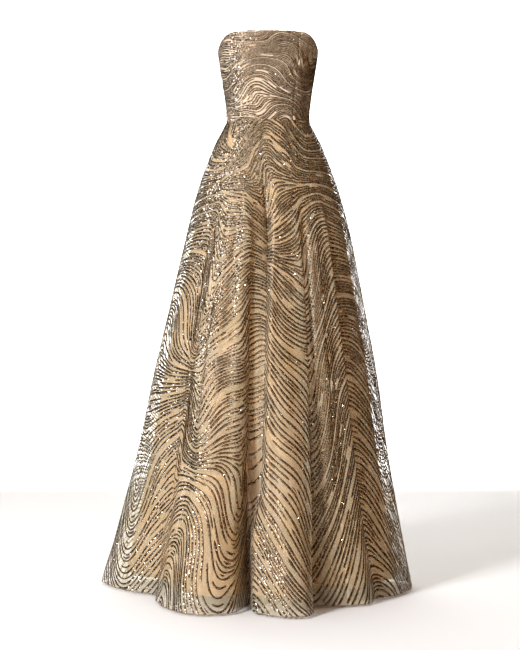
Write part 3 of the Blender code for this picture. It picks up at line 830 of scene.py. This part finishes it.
def build_sheet(name, cloth, material):
    """A single sheet of sheer cloth with its seam allowances turned under."""
    left = seam_allowance(cloth, 0)
    right = seam_allowance(cloth, -1)
    points = np.concatenate([[left[1], left[0]], cloth.points, [right[0], right[1]]])
    columns, rows = points.shape[:2]
    return new_piece(name, points.reshape(-1, 3), grid_faces(columns, rows), [material])


RIM_STEPS = 5


def build_shell(name, cloth, thickness, outer_material, inner_material, round_top=False):
    """A thin closed shell: the outer face, over the top edge, the inner face, and closed edges."""
    outside = cloth.points
    inside = outside - cloth.normals * thickness
    inside[:, [0, -1], 2] = outside[:, [0, -1], 2]
    loop = [outside]
    if round_top:
        middle = (outside[:, -1] + inside[:, -1]) / 2.0
        half = (outside[:, -1] - inside[:, -1]) / 2.0
        rise = np.linalg.norm(half, axis=-1)[:, None] * np.array([0.0, 0.0, 1.0])
        for step in range(1, RIM_STEPS):
            turn = pi * step / RIM_STEPS
            loop.append((middle + half * cos(turn) + rise * sin(turn))[:, None, :])
    loop.append(inside[:, ::-1])
    points = np.concatenate(loop, axis=1)
    columns, rows = points.shape[:2]
    faces = [grid_faces(columns, rows)]
    wrap = np.arange(columns - 1) * rows
    faces.append(np.stack([wrap, wrap + rows - 1, wrap + 2 * rows - 1, wrap + rows], axis=1))
    half_rows = np.arange(rows // 2)
    for start, order in ((0, 1), ((columns - 1) * rows, -1)):
        low, high = start + half_rows, start + rows - 1 - half_rows
        edge = np.stack([low[:-1], low[1:], high[1:], high[:-1]], axis=1)
        faces.append(edge[:, ::order])
    faces = np.concatenate(faces)
    outer_rows = cloth.points.shape[1] - 1
    finishes = np.ones(len(faces), dtype=np.int32)
    body = np.tile(np.arange(rows - 1) < outer_rows + RIM_STEPS // 2, columns - 1)
    finishes[: len(body)] = np.where(body, 0, 1)
    return new_piece(name, points.reshape(-1, 3), faces, [outer_material, inner_material], finishes)


HEM_THREAD_RADIUS = 0.6 * MM
HEM_THREAD_SIDES = 6
TOOTH_PITCH = 1.5 * MM
TOOTH_LENGTH = 2.2 * MM
TOOTH_RADIUS = 0.55 * MM
TOOTH_SIDES = 6
TOOTH_REACH = 0.7 * MM
TEETH_FOOT = 4.0 * MM
TEETH_TOP = 10.0 * MM


def build_thread(name, path):
    """A round hem thread along a path, closed at both ends."""
    tangents = unit(np.gradient(path, axis=0))
    side = unit(np.cross(tangents, (0.0, 0.0, 1.0)))
    rise = np.cross(side, tangents)
    rings = path[:, None] + HEM_THREAD_RADIUS * ring_of(side, rise, HEM_THREAD_SIDES)
    points = np.concatenate([rings.reshape(-1, 3), path[[0, -1]]])
    count = len(path)
    at = np.arange(count - 1)[:, None] * HEM_THREAD_SIDES
    one, two = np.arange(HEM_THREAD_SIDES), (np.arange(HEM_THREAD_SIDES) + 1) % HEM_THREAD_SIDES
    upper = at + HEM_THREAD_SIDES
    low = np.stack([at + one, at + two, upper + two], axis=-1).reshape(-1, 3)
    high = np.stack([at + one, upper + two, upper + one], axis=-1).reshape(-1, 3)
    last = (count - 1) * HEM_THREAD_SIDES
    first_end = np.stack([two, one, np.full(HEM_THREAD_SIDES, len(points) - 2)], axis=-1)
    last_end = np.stack([last + one, last + two, np.full(HEM_THREAD_SIDES, len(points) - 1)], axis=-1)
    faces = np.concatenate([low, high, first_end, last_end])
    return new_piece(name, points, faces, [HEM_THREAD])


def build_zip_teeth(tape):
    """The coil's teeth down the middle of the zip, from the left and the right tape in turn."""
    heights = np.arange(ZIP_END + TEETH_FOOT, ZIP_TOP - TEETH_TOP, TOOTH_PITCH / 2.0)
    edge, outward = on_cloth(tape, np.full(heights.shape, tape.places[-1]), heights)
    up = unit(np.gradient(edge, axis=0))
    across = np.cross(up, outward)
    side = np.where(np.arange(len(heights)) % 2, 1.0, -1.0)[:, None]
    middle = edge - outward * TAPE_WALL / 2.0 + across * side * TOOTH_REACH
    ring = middle[:, None] + ring_of(up, outward, TOOTH_SIDES) * TOOTH_RADIUS
    half = across[:, None] * TOOTH_LENGTH / 2.0
    points = np.concatenate([ring - half, ring + half], axis=1).reshape(-1, 3)
    one, two = np.arange(TOOTH_SIDES), (np.arange(TOOTH_SIDES) + 1) % TOOTH_SIDES
    sides = np.stack([one, two, two + TOOTH_SIDES, one + TOOTH_SIDES], axis=-1)
    fan = np.arange(1, TOOTH_SIDES - 1, 2)
    caps = np.stack([np.zeros_like(fan), (fan + 2) % TOOTH_SIDES, fan + 1, fan], axis=-1)
    caps = np.concatenate([caps, caps[:, ::-1] + TOOTH_SIDES])
    tooth = np.concatenate([sides, caps])
    starts = np.arange(len(heights))[:, None, None] * 2 * TOOTH_SIDES
    faces = (starts + tooth[None]).reshape(-1, 4)
    return new_piece("zip_teeth", points, faces, [COIL])


# Embroidery
EMBROIDERY_SEED = 41
STROKE_STEP = 4.6 * MM
STROKE_EDGE_LIFT = 0.25 * MM
STROKE_CREST = 0.8 * MM
STROKE_GAP_SHARE = 0.40
BODICE_STROKE = 2.4 * MM
SKIRT_STROKE = 3.3 * MM
# The share of each line's width in dark cord, which also paints the shade beside its beads
CORD_AND_SHADE_SHARE = 0.36
LEAST_HALF_WIDTH = 0.4 * MM
FEWEST_STEPS = 3
SEQUIN_RADIUS = 0.85 * MM
SEQUIN_LEAN = 0.75
SEQUIN_SHARE = 0.42
SEQUIN_CORNERS = 6
SEQUIN_SIZES = (0.8, 1.15)
SEQUIN_SCATTER = 0.7

# Waves along a line of embroidery, each a strength and a reach in metres: those that change its width, and
# those that end it where they sink below a level
WIDTH_WAVES = ((0.5, 0.034), (0.5, 0.013))
END_WAVES = ((1.0, 0.061), (0.8, 0.023))
WAVE_STARTS = (0.0, 6.3)
WIDTH_KEPT = 0.80
WIDTH_WAVED = 0.20
END_LEVEL = -1.75
END_TAPER = 0.4
BEAD_WIDTHS = (0.88, 1.12)

# Rows of swells in the skirt's and the bodice's flow of lines: the depth below the top, how many stand round
# the body, and each one's width, height and rise
SwellRow = namedtuple("SwellRow", "depth count width height rise")
SKIRT_SWELLS = rows_of(
    SwellRow,
    (0.06, 6, 0.048, 0.10, 0.05),
    (0.26, 7, 0.070, 0.14, 0.09),
    (0.50, 9, 0.085, 0.16, 0.125),
    (0.76, 10, 0.095, 0.19, 0.15),
    (1.02, 12, 0.100, 0.19, 0.15),
    (1.24, 12, 0.110, 0.17, 0.13),
)
BODICE_SWELLS = rows_of(
    SwellRow,
    (0.02, 7, 0.036, 0.045, 0.024),
    (0.11, 6, 0.042, 0.052, 0.034),
    (0.20, 7, 0.036, 0.045, 0.026),
)
SWELL_UNEVEN = 0.3
SWELL_LEAN = 0.7
WAIST_TURN_RADIUS = 0.103
HEM_TURN_RADIUS = 0.49
BODICE_TURN_RADIUS = 0.118

# A slow roll of the whole flow: its rise in metres, and how fast it turns round the body and down it
ROLL_RISE = 0.022
ROLL_ROUND = 3.0
ROLL_DOWN = 4.0
ROLL_START = 0.8

# How the lines follow each other: metres between them, groups with bare net between, and further lines
SKIRT_FIELD = (841, 320)
BODICE_FIELD = (361, 120)
WAIST_SPACING = 6.6 * MM
HEM_SPACING = 18.0 * MM
BODICE_SPACING = 5.2 * MM
COUNT_FROM = -0.5
GROUP_LINES = (3, 8)
GROUP_STEPS = (0.75, 0.95)
BARE_STEPS = (0.35, 1.0)
SKIRT_BARE = 0.8
BODICE_BARE = 0.35
SKIRT_WIDE = (8.0 * MM, 15.5 * MM)
SKIRT_BARE_WIDE = (13.0 * MM, 27.0 * MM)
BODICE_WIDE = 6.5 * MM
BODICE_BARE_WIDE = 8.0 * MM
LINE_HALVINGS = 3
HALVING_FADE = 0.25
SHORTEST_CHAIN = 5

Swell = namedtuple("Swell", "turn depth width height rise lean")
Stroke = namedtuple("Stroke", "place height room")


def swells_of(rows, chance):
    """The swells, staggered and uneven, every second one sinking the lines instead of lifting them."""
    swells = []
    for row in rows:
        shift = chance.uniform(0.0, 1.0)
        for number in range(row.count):
            turn = (number + shift + chance.uniform(-SWELL_UNEVEN, SWELL_UNEVEN)) / row.count * 2.0 * pi - pi
            depth = row.depth + row.height * chance.uniform(-SWELL_UNEVEN, SWELL_UNEVEN)
            grow = 1.0 + chance.uniform(-SWELL_UNEVEN, SWELL_UNEVEN)
            side = -1.0 if number % 2 else 1.0
            lean = chance.uniform(-SWELL_LEAN, SWELL_LEAN)
            rise = row.rise * grow * side
            swells.append(Swell(turn, depth, row.width * grow, row.height * grow, rise, lean))
    return swells


def swept_depth(swells, turns, depths, radius):
    """The depth that the flow carries each place to. Its level lines are the embroidery's lines."""
    swept = depths + ROLL_RISE * np.sin(ROLL_ROUND * turns + ROLL_DOWN * depths + ROLL_START)
    for swell in swells:
        down = (depths - swell.depth) / swell.height
        across = (np.mod(turns - swell.turn + pi, 2.0 * pi) - pi) * radius / swell.width + swell.lean * down
        swept = swept + swell.rise * np.exp(-across * across - down * down)
    return swept


def line_count(depth):
    """How many of the skirt's lines lie above a depth, where their spacing widens evenly on the way down."""
    rate = (HEM_SPACING - WAIST_SPACING) / -HEM
    return np.log((WAIST_SPACING + rate * (depth - COUNT_FROM)) / WAIST_SPACING) / rate


def group_levels(counts, bare, chance):
    """Where the lines lie, in line spacings: uneven groups with bare net between."""
    levels, level = [], counts.min()
    while level < counts.max():
        for _ in range(int(chance.integers(*GROUP_LINES))):
            levels.append(level)
            level += chance.uniform(*GROUP_STEPS)
        level += bare * chance.uniform(*BARE_STEPS)
    return levels


def contour_chains(values, level):
    """The chains of grid places along which the values equal a level."""
    above = values > level
    across = above[1:, :] != above[:-1, :]
    up = above[:, 1:] != above[:, :-1]
    crossed = across[:, :-1] | across[:, 1:] | up[:-1, :] | up[1:, :]
    links = {}
    for i, j in zip(*(found.tolist() for found in np.nonzero(crossed))):
        ends = [(i, j, 0)] * int(across[i, j]) + [(i, j, 1)] * int(up[i, j])
        ends += [(i, j + 1, 0)] * int(across[i, j + 1]) + [(i + 1, j, 1)] * int(up[i + 1, j])
        for one, two in zip(ends[::2], ends[1::2]):
            links.setdefault(one, []).append(two)
            links.setdefault(two, []).append(one)
    starts = [edge for edge, others in links.items() if len(others) == 1] + list(links)
    used, chains = set(), []
    for edge in starts:
        chain = []
        while edge is not None and edge not in used:
            used.add(edge)
            chain.append(edge)
            edge = next((other for other in links[edge] if other not in used), None)
        if len(chain) > SHORTEST_CHAIN:
            chains.append(np.array(chain))
    return chains


def strokes_of(places, heights, counts, spacings, levels, wide, bare_wide):
    """The lines of the flow at each level, as places and heights with the room for each. Where neighbours
    part by more than wide, further lines start between them and end where they close up again. Bare net
    between two groups may be as wide as bare_wide."""
    wanted = []
    for one, two in zip(levels, levels[1:]):
        gap = spacings * (two - one)
        limit = wide if two - one < 1.0 else bare_wide
        fills = [ease((gap / (limit * 2**halving) - 1.0) / HALVING_FADE) for halving in range(LINE_HALVINGS)]
        room = gap / (1.0 + sum(fill * 2**halving for halving, fill in enumerate(fills)))
        wanted.append((one, np.minimum(spacings, room)))
        for halving, fill in enumerate(fills):
            step = 0.5 ** (halving + 1)
            wanted += [(mix(one, two, share), room * fill) for share in np.arange(step, 1.0, 2.0 * step)]
    strokes = []
    for level, room in wanted:
        for chain in contour_chains(counts, level):
            i, j, along = chain.T
            next_i, next_j = i + (along == 0), j + (along == 1)
            low, high = counts[i, j], counts[next_i, next_j]
            share = (level - low) / np.where(high == low, 1.0, high - low)
            place = mix(places[i], places[next_i], share)
            height = mix(heights[i, j], heights[next_i, next_j], share)
            strokes.append(Stroke(place, height, room[i, j]))
    return strokes


def spacing_of(counts, points):
    """The distance between neighbouring lines at each grid place, from how fast their count rises there."""
    across = np.linalg.norm(np.gradient(points, axis=0), axis=-1)
    down = np.linalg.norm(np.gradient(points, axis=1), axis=-1)
    return 1.0 / np.hypot(np.gradient(counts, axis=0) / across, np.gradient(counts, axis=1) / down)


def skirt_strokes(chance):
    """The skirt's lines of embroidery, all the way round it, on a field of even lengths along its hem."""
    lines = np.linspace(-180.0, 180.0, SKIRT_FIELD[0])
    lengths = lengths_along(skirt_point(lines, np.full(lines.shape, HEM)))
    turns = lengths[:, None] / lengths[-1] * 2.0 * pi - pi
    depths = np.linspace(0.0, -HEM, SKIRT_FIELD[1])[None, :]
    shares = depths / -HEM
    radius = mix(WAIST_TURN_RADIUS, HEM_TURN_RADIUS, shares)
    counts = line_count(swept_depth(swells_of(SKIRT_SWELLS, chance), turns, depths, radius))
    heights = np.broadcast_to(-depths, counts.shape)
    spacings = spacing_of(counts, skirt_point(lines[:, None], heights))
    levels = group_levels(counts, SKIRT_BARE, chance)
    return strokes_of(lines, heights, counts, spacings, levels, mix(*SKIRT_WIDE, shares),
                      mix(*SKIRT_BARE_WIDE, shares))


def bodice_strokes(chance):
    """The bodice's lines of embroidery, all the way round it."""
    azimuths = np.linspace(-180.0, 180.0, BODICE_FIELD[0])
    depths = np.linspace(0.0, TOP_FRONT, BODICE_FIELD[1])[None, :]
    turns = np.radians(azimuths)[:, None]
    swept = swept_depth(swells_of(BODICE_SWELLS, chance), turns, depths, BODICE_TURN_RADIUS)
    counts = swept / BODICE_SPACING
    heights = np.broadcast_to(TOP_FRONT - depths, counts.shape)
    spacings = spacing_of(counts, bodice_point(azimuths[:, None], heights))
    levels = group_levels(counts, BODICE_BARE, chance)
    return strokes_of(azimuths, heights, counts, spacings, levels, BODICE_WIDE, BODICE_BARE_WIDE)


def runs_of(valid):
    """Start and end of each unbroken run of true values."""
    edges = np.flatnonzero(np.diff(np.concatenate([[0], valid.astype(np.int8), [0]])))
    return list(zip(edges[::2], edges[1::2]))


def waves_along(along, waves, chance):
    """The sum of waves along a line, each starting anywhere in its turn."""
    return sum(strength * np.sin(along / reach + chance.uniform(*WAVE_STARTS)) for strength, reach in waves)


def stroke_points(cloth, place, row, room, chance, widest):
    """One line of embroidery along a run on a cloth, at even steps: points, normals and half widths.
    Where lines crowd together, each is as narrow as their room leaves it."""
    lengths = lengths_along(on_cloth(cloth, place, row)[0])
    count = int(lengths[-1] / STROKE_STEP)
    if count < FEWEST_STEPS:
        return None
    along = np.linspace(0.0, lengths[-1], count + 1)
    place, row = np.interp(along, lengths, place), np.interp(along, lengths, row)
    room = STROKE_GAP_SHARE * np.interp(along, lengths, room)
    points, normals = on_cloth(cloth, place, row)
    swell = waves_along(along, WIDTH_WAVES, chance)
    fade = waves_along(along, END_WAVES, chance)
    half = widest * (WIDTH_KEPT + WIDTH_WAVED * swell) * ease((fade - END_LEVEL) / END_TAPER)
    half = np.minimum(half, room) * chance.uniform(*BEAD_WIDTHS, len(along))
    return points, normals, half


def bodice_row(azimuth, height):
    """The bodice cloth's row at a place: the share of the way from the waist to the top edge."""
    return (height - HALF_GAP) / (top_edge(azimuth) - HALF_GAP)


def skirt_row(_, height):
    """The skirt cloth's row at a place, which is its height."""
    return height


def sequin_corners(points, normals, tangents, half, chance):
    """Sequins sewn on a line of embroidery, each leaning its own way: the corners of each in turn."""
    count = len(points)
    sides = np.cross(tangents, normals)
    lean = chance.normal(0.0, SEQUIN_LEAN, (count, 2))
    facing = unit(normals + sides * lean[:, :1] + tangents * lean[:, 1:])
    one = unit(np.cross(facing, tangents))
    radius = SEQUIN_RADIUS * chance.uniform(*SEQUIN_SIZES, (count, 1))
    shift = chance.uniform(-SEQUIN_SCATTER, SEQUIN_SCATTER, (count, 1)) * half
    centre = points + normals * (STROKE_EDGE_LIFT + STROKE_CREST) + sides * shift
    ring = ring_of(one, np.cross(facing, one), SEQUIN_CORNERS)
    return (centre[:, None] + radius[:, None] * ring).reshape(-1, 3)


def beaded_strip(points, normals, tangents, half, widest):
    """The edges and the crest of a raised line: cord from its first edge to the crest, dark enough to paint
    the shade beside the beads, and beads beyond it.
    """
    side = np.cross(tangents, normals) * half
    rise = normals * (STROKE_EDGE_LIFT + STROKE_CREST * np.minimum(1.0, half / widest))
    edge = normals * STROKE_EDGE_LIFT
    crest = points + rise - side * (1.0 - 2.0 * CORD_AND_SHADE_SHARE)
    return np.stack([points + edge - side, crest, points + edge + side])


def build_embroidery(name, cloth, strokes, chance, widest, to_row):
    """The flowing lines of one panel as raised beaded strokes, with sequins scattered along them."""
    first, last = cloth.places[0], cloth.places[-1]
    foot, top = cloth.rows[0], cloth.rows[-1]
    strips, faces, sides, sequins = [], [], [], []
    total = 0
    for stroke in strokes:
        row = to_row(stroke.place, stroke.height)
        inside = (stroke.place > first) & (stroke.place < last) & (row > foot) & (row < top)
        for start, end in runs_of(inside):
            reach = slice(max(start - 1, 0), end + 1)
            place, level = np.clip(stroke.place[reach], first, last), np.clip(row[reach], foot, top)
            made = stroke_points(cloth, place, level, stroke.room[reach], chance, widest)
            if made is None:
                continue
            points, normals, half = made
            tangents = unit(np.gradient(points, axis=0))
            for begin, stop in runs_of(half > LEAST_HALF_WIDTH):
                length = stop - begin
                if length < FEWEST_STEPS:
                    continue
                run = [points[begin:stop], normals[begin:stop], tangents[begin:stop], half[begin:stop, None]]
                strips.append(beaded_strip(*run, widest).reshape(-1, 3))
                faces.append(grid_faces(3, length, total))
                sides.append(np.repeat([0, 1], length - 1))
                total += 3 * length
                chosen = np.flatnonzero(chance.random(length) < SEQUIN_SHARE)
                sequins.append(sequin_corners(*(values[chosen] for values in run), chance))
    # Each line's first side is dark cord that also paints the shade beside its beads; the rest is glitter.
    thread = new_piece(f"embroidery_{name}", np.concatenate(strips), np.concatenate(faces),
                       [BRONZE_CORD_AND_SHADE, GLITTER], np.concatenate(sides))
    corners = np.concatenate(sequins)
    plates = np.arange(len(corners)).reshape(-1, SEQUIN_CORNERS)
    foils = new_piece(f"sequins_{name}", corners, plates, [SEQUINS])
    return [thread, foils]


# Studio
CAMERA_PLACE = (-0.021, -4.04, -0.531)
CAMERA_LENS = 84.74
CAMERA_SENSOR = 36.0
PAPER_DROP = 6.0 * MM
PAPER_BACK = 7.5
PAPER_RISE = 6.0
PAPER_HALF_WIDTH = 8.0
PAPER_BEND = 1.0
PAPER_BEND_STEPS = 12
ROOM_COLOR = "#FFDFB4"
ROOM_STRENGTH = 0.07

# Each lamp's place, the point it faces, its size in metres, its power in watts and its colour
Lamp = namedtuple("Lamp", "name place target size power color")
LAMPS = rows_of(
    Lamp,
    ("key", (-2.55, -3.75, 0.8), (0.0, 0.0, -0.6), (0.9, 1.3), 288.0, "#FCFBFF"),
    ("fill", (3.9, -2.1, 0.6), (0.0, 0.0, -0.5), (1.2, 1.6), 24.0, "#FFBC78"),
    ("backdrop", (0.0, 3.8, 1.3), (0.0, 7.5, -0.8), (4.4, 3.0), 480.0, "#FFFFFF"),
    ("floor", (0.0, 1.4, 3.2), (0.0, 1.7, -1.2), (2.6, 2.6), 120.0, "#FFFFFF"),
)


def set_camera():
    """A long lens level with the middle of the gown, straight in front of it."""
    camera = bpy.data.objects.new("camera", bpy.data.cameras.new("camera"))
    camera.location = CAMERA_PLACE
    camera.rotation_euler = (radians(90.0), 0.0, 0.0)
    camera.data.lens = CAMERA_LENS
    camera.data.sensor_width = CAMERA_SENSOR
    bpy.context.collection.objects.link(camera)
    bpy.context.scene.camera = camera


def add_lamp(lamp):
    """A soft rectangular lamp, itself out of the picture."""
    light = bpy.data.lights.new(lamp.name, "AREA")
    light.shape = "RECTANGLE"
    light.size, light.size_y = lamp.size
    light.energy = lamp.power
    light.color = linear(lamp.color)[:3]
    holder = bpy.data.objects.new(lamp.name, light)
    holder.location = lamp.place
    aim = np.array(lamp.target) - np.array(lamp.place)
    holder.rotation_euler = Vector(aim).to_track_quat("-Z", "Y").to_euler()
    holder.visible_camera = False
    bpy.context.collection.objects.link(holder)


def build_studio():
    """A pale paper floor that curves up behind the gown, a soft key lamp from the front left, a weak warm
    fill from the right, and two lamps over the paper."""
    floor, foot = HEM - PAPER_DROP, PAPER_BACK - PAPER_BEND
    profile = [(-PAPER_BACK, 0.0), (foot, 0.0)]
    for turn in np.linspace(0.0, pi / 2.0, PAPER_BEND_STEPS + 1)[1:]:
        profile.append((foot + PAPER_BEND * sin(turn), PAPER_BEND * (1.0 - cos(turn))))
    profile.append((PAPER_BACK, PAPER_RISE))
    points = [(x, y, floor + z) for x in (-PAPER_HALF_WIDTH, PAPER_HALF_WIDTH) for y, z in profile]
    count = len(profile)
    faces = [(i, count + i, count + i + 1, i + 1) for i in range(count - 1)]
    mesh = bpy.data.meshes.new("studio_paper")
    mesh.from_pydata(points, [], faces)
    mesh.materials.append(paper_material())
    mesh.shade_smooth()
    paper = bpy.data.objects.new("studio_paper", mesh)
    bpy.context.collection.objects.link(paper)
    # The glitter mirrors the dark room round the paper, as on a gown that is lit by lamps alone.
    paper.visible_glossy = False
    for lamp in LAMPS:
        add_lamp(lamp)
    room = bpy.data.worlds.new("studio")
    room.use_nodes = True
    glow = room.node_tree.nodes["Background"]
    glow.inputs["Color"].default_value = linear(ROOM_COLOR)
    glow.inputs["Strength"].default_value = ROOM_STRENGTH
    bpy.context.scene.world = room
    bpy.context.scene.view_settings.view_transform = "Standard"


set_camera()
build_studio()
TULLE = tulle_material()
SATIN = satin_material()
LAID_TULLE = laid_tulle_material()
BRONZE_CORD_AND_SHADE = bronze_cord_and_shade_material()
GLITTER = glitter_material()
SEQUINS = sequin_material()
TAPE = tape_material()
COIL = coil_material()
ZINC = zip_metal_material()
HEM_THREAD = hem_thread_material()

chance = np.random.default_rng(EMBROIDERY_SEED)
skirt_lines = skirt_strokes(chance)
bodice_lines = bodice_strokes(chance)
for panel in PANELS:
    name = panel.name
    bodice_cut, skirt_cut, lining_cut = CUTS[name]
    cloth = bodice_cloth(panel)
    bodice = build_shell(f"bodice_{name}_cloth", cloth, BODICE_WALL, LAID_TULLE, SATIN,
                         round_top=True)
    sewn_on = build_embroidery(f"bodice_{name}", cloth, bodice_lines, chance, BODICE_STROKE, bodice_row)
    hang(bodice, f"bodice_{name}", bodice_cut, with_pieces=sewn_on)

    cloth = skirt_cloth(panel)
    gore = build_sheet(f"skirt_{name}_cloth", cloth, TULLE)
    sewn_on = build_embroidery(f"skirt_{name}", cloth, skirt_lines, chance, SKIRT_STROKE, skirt_row)
    edge = cloth.points[:, 0] + np.array([0.0, 0.0, HEM_THREAD_RADIUS])
    sewn_on.append(build_thread(f"skirt_{name}_hem", edge))
    hang(gore, f"skirt_{name}", skirt_cut, rests_on=[bodice], with_pieces=sewn_on)

    cloth = lining_cloth(panel)
    lining = build_shell(f"lining_{name}_cloth", cloth, LINING_WALL, SATIN, SATIN)
    stitches = build_thread(f"lining_{name}_stitches", cloth.points[:, 1])
    hang(lining, f"lining_{name}", lining_cut, rests_on=[bodice], with_pieces=[stitches])

left_tape = tape_cloth(-TAPE_WIDTH, -HALF_GAP)
right_tape = tape_cloth(HALF_GAP, TAPE_WIDTH)
for side, cloth in (("left", left_tape), ("right", right_tape)):
    tape = build_shell(f"zip_tape_{side}_cloth", cloth, TAPE_WALL, TAPE, TAPE)
    hang(tape, f"zip_tape_{side}", TAPE_CUTS[side], rests_on=[f"bodice_back_{side}_cloth"])
build_zip_teeth(left_tape)
for name in ("zip_slider", "zip_pull"):
    bpy.data.objects[name].data.materials[0] = ZINC
